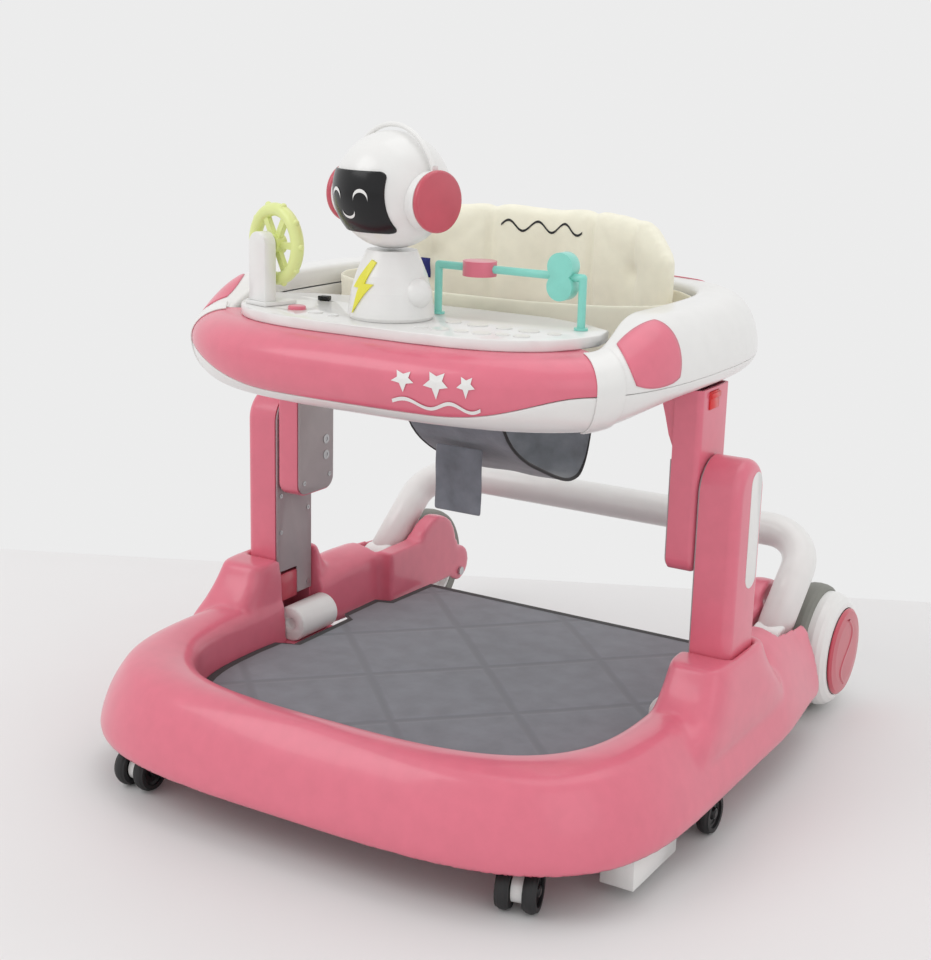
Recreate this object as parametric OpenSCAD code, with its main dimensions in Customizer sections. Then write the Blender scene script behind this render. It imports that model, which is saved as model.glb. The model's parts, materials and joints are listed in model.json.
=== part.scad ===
// Baby walker: U-shaped rolling base, two telescoping posts, play tray with a seat ring, push handle.
// X runs across, -Y is the front, +Z is up; the origin is the middle of the footprint on the floor.

/* [Base] */
// Width of the base across its outer lips
base_w = 600; // [560:5:640]
// Distance from the front of the base to the back of the rear wheels
overall_l = 680; // [660:5:700]
// Height of the base's lower lip above the floor
base_lip_z = 40; // [40:1:43]
// Height of the base's front crown
base_crown_z = 118; // [112:1:124]
// Width of the hollow bow, seen from above
base_band = 70; // [66:1:74]
// Wall thickness of the moulded shells
wall = 3; // [2.6:0.1:3.4]

/* [Posts] */
// Height of the top of the lower posts
post_top_z = 333; // [325:1:337]
// Depth of a post from front to back
post_d = 63; // [60:1:66]
// Outer face of a lower post, from the middle of the walker
post_outer_x = 276; // [274:1:277]

/* [Tray] */
// Width of the tray ring
tray_w = 500; // [490:2:506]
// Distance from the middle to the front of the bumper
tray_front = 260; // [250:2:270]
// Distance from the middle to the back of the seat ring
tray_rear = 190; // [180:2:196]
// Height of the toy board's upper face
board_z = 452; // [450:1:454]

/* [Rolling gear] */
// Radius of a rear wheel
rear_r = 68; // [64:1:70]
// Radius of a caster wheel
caster_r = 19.5; // [18:0.5:19.5]

/* [Toys] */
// Radius of the robot's head
head_r = 50; // [46:1:52]

/* [Hidden] */
$fn = 48;
eps = 0.01;
fit = 0.3;
run = 0.05;
SIDES = [["left", -1], ["right", 1]];
CASTERS = ["front_left", "front_right", "mid_left", "mid_right"];

// Base plan
base_half = base_w/2;
front_y = -overall_l/2;
rear_y = overall_l/2;
bow_y = -100;
inner_half = 222;
outer_power = 3.5;
inner_power = 3.1;
inner_front = front_y + base_band;
arm_end_y = 200;
arm_rise = 14;

// Posts
post_inner_x = 238;
post_y0 = -40;
post_y1 = post_y0 + post_d;
post_mid_y = (post_y0 + post_y1)/2;
post_foot_z = 66;
boss_top_z = 155;
cover_t = 2;
upper_inner_x = 209;
upper_outer_x = 235;
upper_foot_z = 226;
upper_head_z = 395;

// Rear wheel and axle
axle_y = rear_y - rear_r;
axle_r = 5;
plate_x0 = 196;
plate_x1 = 218;

// Casters
caster_spots = [[203, -278], [270, -62]];
caster_heading = [0, 15, 0, 0];
caster_trail = 12;
socket_z = 46;
stem_r = 4;

// Stoppers
stopper_x = 257;
stopper_pegs = [[-205, 51.5], [-170, 51.5]];

// Handle
handle_x = 241;
handle_r = 18;
handle_pivot_y = 162;
handle_pivot_z = 102;
handle_bar_y = 268;
handle_bar_z = 190;
handle_corner = 45;
handle_pin_r = 7;

// Tray
tray_mid_y = -35;
rim_bulge_z = 417;
rim_depth = 34;
board_t = 10;
seat_sling_half = 55;

// Toys
robot_x = -6;
robot_y = -172;
head_z = 562;
ferris_x = -132;
ferris_y = -172;
ferris_z = 506;
bar_x0 = 14;
bar_x1 = 157;
bar_y = -127;
bar_z = 496;
bar_r = 3.5;

pink = [0.88, 0.43, 0.51];
deep_pink = [0.78, 0.28, 0.38];
white = [0.94, 0.94, 0.92];
grey = [0.69, 0.65, 0.66];
cream = [0.98, 0.97, 0.89];
mint = [0.51, 0.86, 0.80];
lemon = [0.89, 0.95, 0.51];
black = [0.06, 0.06, 0.07];
charcoal = [0.47, 0.49, 0.52];
red = [0.88, 0.08, 0.10];

// ---- Curves ----
function spow(v, p) = sign(v)*pow(abs(v), p);
function smooth(v) = let (c = min(max(v, 0), 1)) c*c*(3 - 2*c);
// Point on a superellipse; angle 0 is the front, 90 is the +X side
function oval(a, b_front, b_rear, yc, n, t) =
    [a*spow(sin(t), 2/n), yc - (cos(t) > 0 ? b_front : b_rear)*spow(cos(t), 2/n)];
function unit(v) = v/norm(v);
// Moves each point of an open outline sideways by d
function shifted(p, d) = [for (i = [0:len(p) - 1])
    let (a = p[max(i - 1, 0)], b = p[min(i + 1, len(p) - 1)], u = unit(b - a)) p[i] + d*[u[1], -u[0]]];
// Closed thin-walled section from an open outline
function walled(p, t) = let (q = shifted(p, t), n = len(p)) concat(p, [for (i = [n - 1:-1:0]) q[i]]);
// Places a section's [distance inwards, height] points between two plan points
function placed(o, i, sec) = let (u = unit(i - o))
    [for (s = sec) [o[0] + u[0]*s[0], o[1] + u[1]*s[0], s[1]]];

// Skins a run of equal-length sections; a run that isn't a loop is capped by strips
module skin(rings, loop = false) {
    n = len(rings[0]);
    m = len(rings);
    last = loop ? m - 1 : m - 2;
    sides = [for (j = [0:last], k = [0:n - 1])
        let (a = j*n + k, b = j*n + (k + 1)%n, c = ((j + 1)%m)*n + (k + 1)%n, d = ((j + 1)%m)*n + k)
        each [[a, b, c], [a, c, d]]];
    strip = [for (i = [0:n/2 - 2]) each [[i, n - 1 - i, n - 2 - i], [i, n - 2 - i, i + 1]]];
    far = (m - 1)*n;
    caps = loop ? [] : concat(strip, [for (f = strip) [far + f[2], far + f[1], far + f[0]]]);
    polyhedron(points = [for (r = rings) each r], faces = concat(sides, caps), convexity = 8);
}

// ---- Base ----
function bow_pair(t) = [oval(base_half, bow_y - front_y, 1, bow_y, outer_power, t),
    oval(inner_half, bow_y - inner_front, 1, bow_y, inner_power, t)];
function arm_pair(s, y) =
    [[s*(base_half - 12*smooth((y - 60)/150)), y], [s*(inner_half - 8*smooth(y/120)), y]];
function crown(y) = base_crown_z + arm_rise*smooth((y + 20)/110);
function base_section(w, top) = let (h = top - 60)
    [[3, base_lip_z], [0, base_lip_z + 8], [2, 60], [9, 60 + 0.36*h], [19, 60 + 0.67*h], [30, 60 + 0.89*h],
        [0.56*w, top], [0.76*w, top - 1], [0.9*w, top - 5], [w - 1, top - 13], [w, top - 26], [w, 62]];
function base_ring(pair, top) = placed(pair[0], pair[1],
    walled(base_section(norm(pair[1] - pair[0]), top), wall));
arm_steps = [for (y = [arm_end_y:-25:-75]) y];
base_rings = concat(
    [for (y = arm_steps) base_ring(arm_pair(-1, y), crown(y))],
    [for (t = [-90:9:90]) base_ring(bow_pair(t), base_crown_z)],
    [for (i = [len(arm_steps) - 1:-1:0]) base_ring(arm_pair(1, arm_steps[i]), crown(arm_steps[i]))]);

module both_sides() {
    children();
    mirror([1, 0, 0]) children();
}

module rounded_slab(x0, x1, y0, y1, r, z) {
    for (x = [x0 + r, x1 - r], y = [y0 + r, y1 - r]) translate([x, y, z]) cylinder(r = r, h = 0.5, $fn = 24);
}

// Pedestal that grips a post's foot
module pedestal(inset) {
    hull() {
        rounded_slab(222 + inset, 296 - inset, -128 + inset, 82 - inset, 18, 96 - inset);
        rounded_slab(226 + inset, 286 - inset, -78 + inset, 36 - inset, 9, boss_top_z - 0.5 - inset);
    }
}

// Inner plate at the back of an arm, with its raised rounded end
module rear_plate() {
    translate([plate_x0, 0, 0]) rotate([90, 0, 90]) linear_extrude(plate_x1 - plate_x0)
        difference() {
            union() {
                translate([120, 62]) square([110, 66]);
                translate([222, 106]) circle(r = 42);
                translate([axle_y, 78]) circle(r = 22);
                translate([228, 62]) square([40, 50]);
            }
            translate([axle_y, rear_r]) circle(r = axle_r);
        }
}

// Thin guard between the handle's leg and the rear wheel
module wheel_guard() {
    translate([plate_x1 - eps, 0, 0]) rotate([90, 0, 90]) linear_extrude(6)
        difference() {
            translate([axle_y - 12, 62]) square([36, 50]);
            translate([axle_y, rear_r]) circle(r = axle_r);
        }
}

module caster_socket(p) {
    translate([p[0], p[1], socket_z]) difference() {
        union() {
            cylinder(r = 10, h = 24);
            translate([-8, p[1] < -200 ? 10 : 0, 0]) cylinder(r = 5, h = p[1] < -200 ? 70.5 : 67.5);
        }
        translate([0, 0, -eps]) cylinder(r = stem_r, h = 22);
    }
}

module handle_bores() {
    translate([180, handle_pivot_y, handle_pivot_z]) rotate([0, 90, 0]) cylinder(r = handle_pin_r, h = 90.5);
}

// Closes the back of an arm
module end_wall() {
    pair = arm_pair(1, arm_end_y);
    sec = base_section(pair[0][0] - pair[1][0], crown(arm_end_y));
    translate([0, arm_end_y, 0]) rotate([90, 0, 0]) linear_extrude(wall)
        polygon([for (s = sec) [pair[0][0] - s[0], s[1]]]);
}

module base_arm_fittings() {
    difference() {
        union() {
            pedestal(0);
            rear_plate();
            wheel_guard();
            translate([262, 118, 62]) cube([10, 80, 48]);
            for (p = stopper_pegs) translate([stopper_x, p[0], 60]) cylinder(r = 7, h = p[1]);
            end_wall();
            translate([198, -44, 62]) cube([79, 71, 4]);
        }
        difference() {
            pedestal(wall);
            translate([277, -60, 60]) cube([5, 110, 100]);
        }
    }
}

module base_shell() {
    color(pink) difference() {
        union() {
            skin(base_rings);
            both_sides() {
                base_arm_fittings();
                for (p = caster_spots) caster_socket(p);
            }
        }
        both_sides() {
            // Slot for the post's foot, open to the inside
            translate([190, post_y0 - fit, 66]) cube([post_outer_x + fit - 190, post_d + 2*fit, 120]);
            // Saddle for the handle's leg, open at the top and the back
            translate([handle_x - handle_r - 3, 122, 80]) cube([2*handle_r + 5, 120, 120]);
            handle_bores();
        }
    }
    }

function mat_edge(s) = [for (t = [-90:10:90])
    oval(inner_half - 2, bow_y - inner_front - 2, 1, bow_y, inner_power, s*t)];
mat_side = [[218, -66], [199, -58], [199, 42], [211, 50], [211, 110], [194, 116], [190, 195]];
module foot_mat() {
    color(charcoal) translate([0, 0, 70]) linear_extrude(2.5)
        polygon(concat(mat_edge(1), mat_side,
            [for (i = [len(mat_side) - 1:-1:0]) [-mat_side[i][0], mat_side[i][1]]]));
}

module stopper_blocks() {
    color(white) both_sides() {
        difference() {
            translate([249, -230, 11]) cube([31, 86, 28]);
            translate([252, -227, 10]) cube([25, 80, 25]);
        }
        translate([stopper_x - 7, -216, 38]) cube([14, 58, 22]);
    }
}

module rear_axles() {
    color("silver") both_sides() translate([plate_x0 - 2, axle_y, rear_r]) rotate([0, 90, 0])
        cylinder(r = axle_r, h = 282 - plate_x0);
}

// ---- Posts ----
// Side outline of a lower post, rounded at the top
module lower_outline(inset, z0) {
    r = post_d/2 - inset;
    translate([post_y0 + inset, z0]) square([2*r, post_top_z - post_d/2 - z0]);
    translate([post_mid_y, post_top_z - post_d/2]) circle(r = r);
}

module stadium(w, h) {
    square([w, h - w], center = true);
    for (s = [-1, 1]) translate([0, s*(h - w)/2]) circle(r = w/2);
}

module along_x(x0, length) {
    translate([x0, 0, 0]) rotate([90, 0, 90]) linear_extrude(length) children();
}

inlay_y = 0;
inlay_z = 266;
module lower_post() {
    difference() {
        along_x(post_inner_x, post_outer_x - post_inner_x) lower_outline(0, post_foot_z);
        along_x(post_inner_x - eps, post_outer_x - post_inner_x - wall) lower_outline(wall, 100);
        along_x(post_outer_x - 1.6, 2) translate([inlay_y, inlay_z]) stadium(25, 110);
    }
}

slot_y0 = post_mid_y - 9;
module lower_cover() {
    difference() {
        along_x(post_inner_x - cover_t, cover_t) lower_outline(1.5, 108);
        translate([post_inner_x - 5, slot_y0, 227]) cube([10, 18, 99]);
        translate([post_inner_x - 5, post_y0 + 3, 100]) cube([10, 33, 38]);
    }
}

lower_screw_spots = [[post_y0 + 8, 182], [post_y1 - 8, 200], [post_y1 - 8, 116], [post_y0 + 8, 222]];
module screw_heads(spots, x_face, r) {
    for (p = spots) translate([x_face - 0.8, p[0], p[1]]) rotate([0, 90, 0]) difference() {
        cylinder(r = r, h = 0.8, $fn = 24);
        translate([0, 0, -eps]) cylinder(r = r/2.2, h = 0.5, $fn = 24);
    }
}

module hinge_barrel() {
    translate([219, post_y0 + 1, 85]) rotate([-90, 0, 0]) difference() {
        cylinder(r = 19, h = post_d - 2);
        translate([0, 0, -eps]) cylinder(r = 6, h = 4);
        translate([0, 0, post_d - 6]) cylinder(r = 6, h = 5);
    }
}

// A catch pad behind the notch of the lower cover
module catch_pad() {
    translate([post_inner_x - 3, post_y0 + 4, 105]) cube([6, 31, 30]);
    translate([post_inner_x + 3, post_y0 + 12, 112]) cube([10, 14, 14]);
}

module upper_outline(inset, z1) {
    r = 13 - inset/2;
    y0 = post_y0 + inset;
    y1 = post_y1 - inset;
    z0 = upper_foot_z + inset;
    translate([y0, z0 + r]) square([y1 - y0, z1 - z0 - r]);
    translate([y0 + r, z0]) square([y1 - y0 - 2*r, r + 1]);
    for (y = [y0 + r, y1 - r]) translate([y, z0 + r]) circle(r = r);
}

button_y = -14;
button_z = 384;
tongue_z = 274;
module upper_post() {
    difference() {
        union() {
            along_x(upper_inner_x, upper_outer_x - upper_inner_x) upper_outline(0, upper_head_z);
            // Flare that carries the front of the ring
            translate([0, post_y0 + 4, 0]) rotate([90, 0, 0]) linear_extrude(4)
                polygon([[upper_inner_x + 1, 345], [upper_inner_x + 1, upper_head_z], [192, upper_head_z]]);
        }
        along_x(upper_inner_x - eps, upper_outer_x - upper_inner_x - wall)
            upper_outline(wall, upper_head_z - 4);
        translate([upper_outer_x - 12, button_y - 10.3, button_z - 8.3]) cube([13, 20.6, 16.6]);
    }
    // Tongue that runs in the slot of the lower post
    translate([upper_outer_x - eps, post_mid_y - 8, tongue_z]) cube([20, 16, 14]);
    translate([upper_outer_x + 5, post_mid_y - 14, tongue_z]) cube([15, 28, 14]);
}

module upper_cover() {
    difference() {
        along_x(upper_inner_x - cover_t, cover_t) upper_outline(1.5, upper_head_z - 1);
        translate([upper_inner_x - 5, post_y0 - 1, 330]) cube([10, 5.5, 80]);
    }
}

module red_button() {
    translate([upper_outer_x - 8, button_y - 10, button_z - 8]) cube([9.5, 20, 16]);
    translate([upper_outer_x + 1, button_y - 10, button_z + 2]) cube([2, 20, 5]);
}

// ---- Casters and rear wheels ----
function caster_place(i) =
    let (p = caster_spots[i < 2 ? 0 : 1], s = i%2 == 0 ? -1 : 1) [s*p[0], p[1], 0];
module caster_at(i) {
    translate(caster_place(i)) rotate([0, 0, caster_heading[i]]) children();
}

module wheel_pair() {
    translate([0, -caster_trail, caster_r]) rotate([0, 90, 0]) for (s = [0, 1]) mirror([0, 0, s]) children();
}

module caster_housing() {
    difference() {
        union() {
            translate([-5, -caster_trail, caster_r]) rotate([0, 90, 0]) cylinder(r = 12, h = 10);
            translate([-5, -caster_trail, caster_r]) cube([10, caster_trail + 7, 23]);
            translate([0, 0, 39.6]) cylinder(r = 8, h = 5.8);
            translate([0, 0, 40]) cylinder(r = stem_r - run, h = 27);
        }
        translate([-9, -caster_trail, caster_r]) rotate([0, 90, 0]) cylinder(r = 2.5 + run, h = 18);
    }
}

module caster_tyre() {
    rotate_extrude() polygon(concat([[caster_r - 6, 5.8], [caster_r - 2, 5.8]],
        [for (a = [-60:30:60]) [caster_r - 3.2 + 3.2*cos(a), 11.6 + 5.2*sin(a)]],
        [[caster_r - 2, 17.4], [caster_r - 6, 17.4]]));
}

module caster_hub() {
    rotate_extrude() polygon([[0, -eps], [2.5, -eps], [2.5, 5.9], [caster_r - 6, 5.9], [caster_r - 6, 15.6],
        [caster_r - 9, 14.6], [6, 14.6], [5, 17], [3, 18], [0, 18]]);
}

rear_x0 = 236;
module rear_wheel_at(s) {
    translate([s*rear_x0, axle_y, rear_r]) rotate([0, s*90, 0]) children();
}

module rear_tyre() {
    rotate_extrude() polygon(concat([[50, 0], [rear_r - 5, 0]],
        [for (a = [-60:30:60]) [rear_r - 4 + 4*cos(a), 13 + 12*sin(a)]], [[rear_r - 5, 26], [50, 26]]));
}

module rear_rim() {
    rotate_extrude() polygon([[axle_r + run, 2], [14, 2], [14, 10], [46, 10], [46, 1], [50, 1], [50, 26],
        [rear_r - 6.5, 26], [rear_r - 6.2, 33], [rear_r - 8, 39], [rear_r - 11, 43.5], [rear_r - 16, 47],
        [rear_r - 20.5, 48.2], [rear_r - 20.5, 42], [14, 38], [14, 47.5], [axle_r + run, 47.5]]);
}

module rear_cap() {
    rotate_extrude()
        polygon([[0, 47.5], [44, 47.5], [46.8, 49], [46.8, 50.5], [44, 52.6], [34, 53.6], [0, 54]]);
}

// ---- Push handle ----
handle_rise = atan2(handle_bar_z - handle_pivot_z, handle_bar_y - handle_pivot_y);
handle_l = norm([handle_bar_y - handle_pivot_y, handle_bar_z - handle_pivot_z]);
module handle_half() {
    translate([handle_x, 0, 0]) rotate([-90, 0, 0])
        cylinder(r = handle_r, h = handle_l - handle_corner + 1.5);
    translate([handle_x - 15, 0, 0]) rotate([0, 90, 0]) cylinder(r = handle_r + 1.5, h = 30);
    translate([handle_x - 37, 0, 0]) rotate([0, 90, 0]) cylinder(r = handle_pin_r - run, h = 65);
    translate([handle_x - handle_corner, handle_l - handle_corner, 0])
        rotate_extrude(angle = 90) translate([handle_corner, 0]) circle(r = handle_r - 0.5);
}

module push_handle() {
    color(white) translate([0, handle_pivot_y, handle_pivot_z]) rotate([handle_rise, 0, 0]) {
        both_sides() handle_half();
        translate([handle_corner - handle_x - 1.5, handle_l, 0]) rotate([0, 90, 0])
            cylinder(r = handle_r, h = 2*(handle_x - handle_corner) + 3);
    }
}

// ---- Tray ----
function rim_o(t) = oval(tray_w/2, tray_front + tray_mid_y, tray_rear - tray_mid_y, tray_mid_y, 2.9, t);
// Inward normal of the rim
function rim_n(t) = let (u = unit(rim_o(t + 1.5) - rim_o(t - 1.5))) [-u[1], u[0]];
function turn(t) = t > 180 ? 360 - t : abs(t);
function band_w(t) = 62 + 118*(1 - smooth((turn(t) - 24)/46));
function rim_low(t) = 377 + 18*smooth((turn(t) - 50)/35);
function rim_high(t) = board_z - board_t + 26*smooth((turn(t) - 55)/27);
function over_w(t) = 60 - 24*(1 - smooth((turn(t) - 50)/32));
function seam(t) = -45 + 38*smooth((turn(t) - 12)/36);
function rim_pt(t, a) = [rim_depth*(1 - cos(a)), rim_bulge_z + sin(a)
    *(a < 0 ? rim_bulge_z - rim_low(t) : rim_high(t) - rim_bulge_z)];
function rim_arc(t, a0, a1, n) = [for (i = [0:n]) rim_pt(t, a0 + (a1 - a0)*i/n)];
function rim_place(t, sec) = let (o = rim_o(t), u = rim_n(t))
    [for (s = sec) [o[0] + u[0]*s[0], o[1] + u[1]*s[0], s[1]]];
function over(t) = let (w = over_w(t), z = rim_high(t))
    concat(rim_arc(t, seam(t) + 0.4, 90, 6), [[w - 1.5, z - 0.5], [w, z - 4], [w, z - 9]]);
function under(t) = let (w = band_w(t), z = rim_low(t))
    concat([[w, rim_high(t) - 20], [w, z + 18], [w - 5, z + 6], [w - 16, z + 1]],
        rim_arc(t, -90, seam(t) - 2.4, 5));

module tray_shell() {
    color(white) skin([for (t = [0:7.5:352.5]) rim_place(t, walled(under(t), 2.4))], loop = true);
}

module bumper_cover() {
    color(pink) skin([for (i = [-12:12]) let (t = i*54.9/12)
        rim_place(t, walled(concat(rim_arc(t, seam(t) + 0.4, 90, 6), [[56, rim_high(t)]]), 2.4))]);
}

module ring_cover() {
    color(white) skin([for (i = [0:32]) let (t = 55.1 + i*249.8/32) rim_place(t, walled(over(t), 2.4))]);
}

module panel(t0, t1) {
    skin([for (i = [0:5]) let (t = t0 + (t1 - t0)*i/5)
        rim_place(t, walled(shifted(rim_arc(t, seam(t) + 4, 84, 7), -1.9), 1.1))]);
}

module ring_panels() {
    color(pink) both_sides() {
        panel(60, 76);
        panel(148, 164);
    }
}

module clip_bands() {
    color(white) both_sides() skin([for (t = [51:2:59])
        rim_place(t, walled(shifted(rim_arc(t, -86, 88, 12), -3.1), 2.1))]);
}

// Toy board outline, with a hollow at the child's side
module board_outline(inset) {
    polygon(concat([for (t = [-75:5:75]) oval(184 - inset, 168 - inset, 1, -60, 3.5, t)],
        [[176 - inset, -112], [146, -94 - inset], [100, -80 - inset],
            [-100, -80 - inset], [-146, -94 - inset],
            [-176 + inset, -112]]));
}

key_x = -98;
key_y = -186;
switch_x = -108;
switch_y = -128;
module toy_board() {
    color(white) difference() {
        translate([0, 0, board_z - board_t]) linear_extrude(board_t) board_outline(0);
        translate([0, 0, board_z - board_t - eps]) linear_extrude(board_t - 3) board_outline(3);
        translate([key_x, key_y, board_z - 5]) cylinder(r = 8 + fit, h = 6);
        translate([switch_x - 8, switch_y - 2 - fit, board_z - 5]) cube([16, 4 + 2*fit, 6]);
    }
}

module board_button() {
    color(pink) translate([key_x, key_y, board_z - 5]) cylinder(r = 8, h = 8);
}

module board_switch() {
    color(black) {
        translate([switch_x - 6, switch_y - 2, board_z - 6]) cube([8, 4, 8]);
        translate([switch_x - 7, switch_y - 4, board_z + fit]) cube([10, 8, 4]);
    }
}

// ---- Seat ----
function seat_edge(inset) = [for (t = [0:6:354]) oval(183 - inset, 97 - inset, 97 - inset, 27, 2.4, t)];
module seat_skirt() {
    color(cream) translate([0, 0, 400]) linear_extrude(64) difference() {
        polygon(seat_edge(0));
        polygon(seat_edge(2.5));
    }
}

sling_path = [[-93, 376], [-62, 330], [-30, 305], [10, 286], [50, 270], [75, 264], [92, 270], [104, 292],
    [112, 330], [117, 372], [120, 400]];
module seat_sling() {
    color(charcoal) along_x(-seat_sling_half, 2*seat_sling_half) polygon(walled(sling_path, 3));
}

module hanging_strap() {
    color(charcoal) translate([-27, -63, 250]) cube([54, 2.5, 71]);
}

// The cushion's plan follows the back of the ring
function bend(x) = -0.0022*x*x;
module backrest() {
    color(cream) intersection() {
        translate([0, 0, 420]) linear_extrude(130) polygon(concat([for (x = [-168:8:168]) [x, 90 + bend(x)]],
            [for (x = [168:-8:-168]) [x, 117 + bend(x)]]));
        translate([0, 140, 0]) rotate([90, 0, 0]) linear_extrude(200) {
            translate([-168, 430]) square([336, 50]);
            translate([-110, 430]) square([220, 108]);
            for (s = [-1, 1]) translate([s*110, 480]) circle(r = 58);
        }
    }
}

// ---- Robot ----
body_curve = [[0, 0], [36, 0], [38, 3], [37, 10], [35, 24], [31, 38], [26, 50], [22, 59], [0, 59]];
module robot_at(z) {
    translate([robot_x, robot_y, z]) rotate([0, 0, -15]) children();
}

module robot_body() {
    color(white) robot_at(board_z + 0.2) difference() {
        union() {
            rotate_extrude() polygon(body_curve);
            for (s = [-1, 1]) translate([s*31, 2, 24]) sphere(r = 13);
        }
        translate([0, 0, -eps]) cylinder(r = 30, h = 5);
    }
}

module robot_bolt() {
    color([0.94, 0.93, 0.27]) robot_at(board_z + 0.2) intersection() {
        difference() {
            rotate_extrude() polygon([for (p = body_curve) [p[0] > 0 ? p[0] + 1.6 : 0, p[1]]]);
            rotate_extrude() polygon([for (p = body_curve) [p[0] > 0 ? p[0] + 0.2 : 0, p[1]]]);
        }
        rotate([90, 0, 0]) linear_extrude(60)
            polygon([[4, 52], [-11, 28], [-3, 28], [-8, 6], [12, 32], [3, 32], [9, 50]]);
    }
}

module robot_head() {
    color(white) robot_at(head_z) sphere(r = head_r, $fn = 96);
}

module robot_visor() {
    color(black) robot_at(head_z) intersection() {
        difference() {
            sphere(r = head_r + 1.8, $fn = 96);
            sphere(r = head_r + 0.3, $fn = 96);
        }
        translate([0, 0, -8]) rotate([90, 0, 0]) linear_extrude(70) {
            square([66, 40], center = true);
            square([54, 52], center = true);
            for (x = [-27, 27], y = [-20, 20]) translate([x, y]) circle(r = 6);
        }
    }
}

module ear_disc(x0, x1, r) {
    for (s = [0, 1]) mirror([s, 0, 0]) translate([x0, 0, -6]) rotate([0, 90, 0])
        cylinder(r = r, h = x1 - x0);
}

module robot_headband() {
    color(white) robot_at(head_z) {
        rotate([90, -24, 0]) rotate_extrude(angle = 132)
            translate([head_r + 5, 0]) circle(r = 2.2, $fn = 24);
        for (s = [-1, 1]) translate([s*(head_r + 1.8) - 1.2, -3, 8]) cube([2.4, 6, 15]);
        difference() {
            ear_disc(head_r - 8, head_r + 3, 25);
            sphere(r = head_r + 0.2, $fn = 96);
        }
    }
}

module robot_ear_cups() {
    color(pink) robot_at(head_z) ear_disc(head_r + 3.1, head_r + 10, 26);
}

// ---- Other toys ----
module ferris_at() {
    translate([ferris_x, ferris_y, 0]) rotate([0, 0, -15]) children();
}

module ferris_tower() {
    color(white) ferris_at() {
        translate([0, -14, board_z + 0.2]) {
            translate([-12, -8, 0]) cube([24, 13, ferris_z - board_z]);
            translate([0, 5, ferris_z - board_z]) rotate([90, 0, 0]) cylinder(r = 12, h = 13);
            translate([-15, -10, 0]) cube([30, 36, 4]);
        }
        translate([0, -10, ferris_z]) rotate([-90, 0, 0]) cylinder(r = 3, h = 20);
    }
}

module ferris_wheel() {
    color(lemon) ferris_at() translate([0, 0, ferris_z]) rotate([-90, 0, 0]) {
        rotate_extrude() translate([31, 0]) circle(r = 6, $fn = 32);
        difference() {
            union() {
                translate([0, 0, -6]) cylinder(r = 9, h = 12);
                for (a = [0:60:300]) rotate([0, 0, a]) translate([6, -3, -2.5]) cube([22, 6, 5]);
            }
            translate([0, 0, -7]) cylinder(r = 3 + run, h = 14);
        }
        for (a = [0:36:324]) rotate([0, 0, a]) translate([36, 0, 0]) sphere(r = 3, $fn = 24);
    }
}

module toy_bar() {
    color(mint) {
        for (x = [bar_x0, bar_x1]) translate([x, bar_y, board_z + 0.2])
            cylinder(r = bar_r, h = bar_z - board_z);
        translate([bar_x0, bar_y, bar_z]) sphere(r = bar_r);
        translate([bar_x1, bar_y, bar_z]) sphere(r = bar_r);
        translate([bar_x0, bar_y, bar_z]) rotate([0, 90, 0]) cylinder(r = bar_r, h = bar_x1 - bar_x0);
        for (x = [bar_x0, bar_x1]) translate([x, bar_y, board_z + 0.2]) cylinder(r = 6, h = 2);
    }
}

module bead_bore() {
    translate([-20, 0, 0]) rotate([0, 90, 0]) cylinder(r = bar_r + run, h = 40);
}

module bead_disc() {
    color(pink) translate([56, bar_y, bar_z]) difference() {
        translate([0, 0, -6.5]) cylinder(r = 15, h = 13);
        bead_bore();
    }
}

module bead_eight() {
    color(mint) translate([138, bar_y, bar_z]) difference() {
        for (s = [-1, 1]) translate([0, 7, s*8.5]) rotate([90, 0, 0]) cylinder(r = 12, h = 14);
        bead_bore();
    }
}

// ---- Output ----
base_shell();
foot_mat();
stopper_blocks();
rear_axles();
color(pink) mirror([1, 0, 0]) lower_post();  // lower_post_left
color(pink) lower_post();  // lower_post_right
color(grey) both_sides() lower_cover();  // lower_covers
color(white) both_sides()  // post_inlays
    along_x(post_outer_x - 1.5, 2) translate([inlay_y, inlay_z]) stadium(24.4, 109.4);
color("silver") both_sides()  // lower_screws
    screw_heads(lower_screw_spots, post_inner_x - cover_t, 2.4);
color(white) both_sides() hinge_barrel();  // hinge_barrels
for (i = [0:3]) {
    color(white) caster_at(i) caster_housing();
    color(black) caster_at(i) wheel_pair() caster_tyre();
    color(white) caster_at(i) wheel_pair() caster_hub();
}
for (s = SIDES) {
    color(grey) rear_wheel_at(s[1]) rear_tyre();
    color(white) rear_wheel_at(s[1]) rear_rim();
    color(deep_pink) rear_wheel_at(s[1]) rear_cap();
    color(pink) mirror([1 - s[1], 0, 0]) upper_post();
    color(red) mirror([1 - s[1], 0, 0]) red_button();
    color(deep_pink) mirror([1 - s[1], 0, 0]) catch_pad();
}
push_handle();
color(grey) both_sides() upper_cover();  // upper_covers
color("silver") both_sides() {  // upper_screws
    screw_heads([[8, 264], [8, 281]], upper_inner_x - cover_t, 5);
    screw_heads([[-30, 240], [14, 242]], upper_inner_x - cover_t, 2.6);
}
tray_shell();
bumper_cover();
ring_cover();
ring_panels();
clip_bands();
toy_board();
backrest();
seat_skirt();
seat_sling();
hanging_strap();
robot_body();
robot_head();
robot_visor();
robot_headband();
robot_ear_cups();
robot_bolt();
ferris_tower();
ferris_wheel();
toy_bar();
bead_disc();
bead_eight();
board_button();
board_switch();
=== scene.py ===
import json
import math

import bmesh
import bpy
from mathutils import Matrix, Vector, noise
from mathutils.bvhtree import BVHTree

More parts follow.
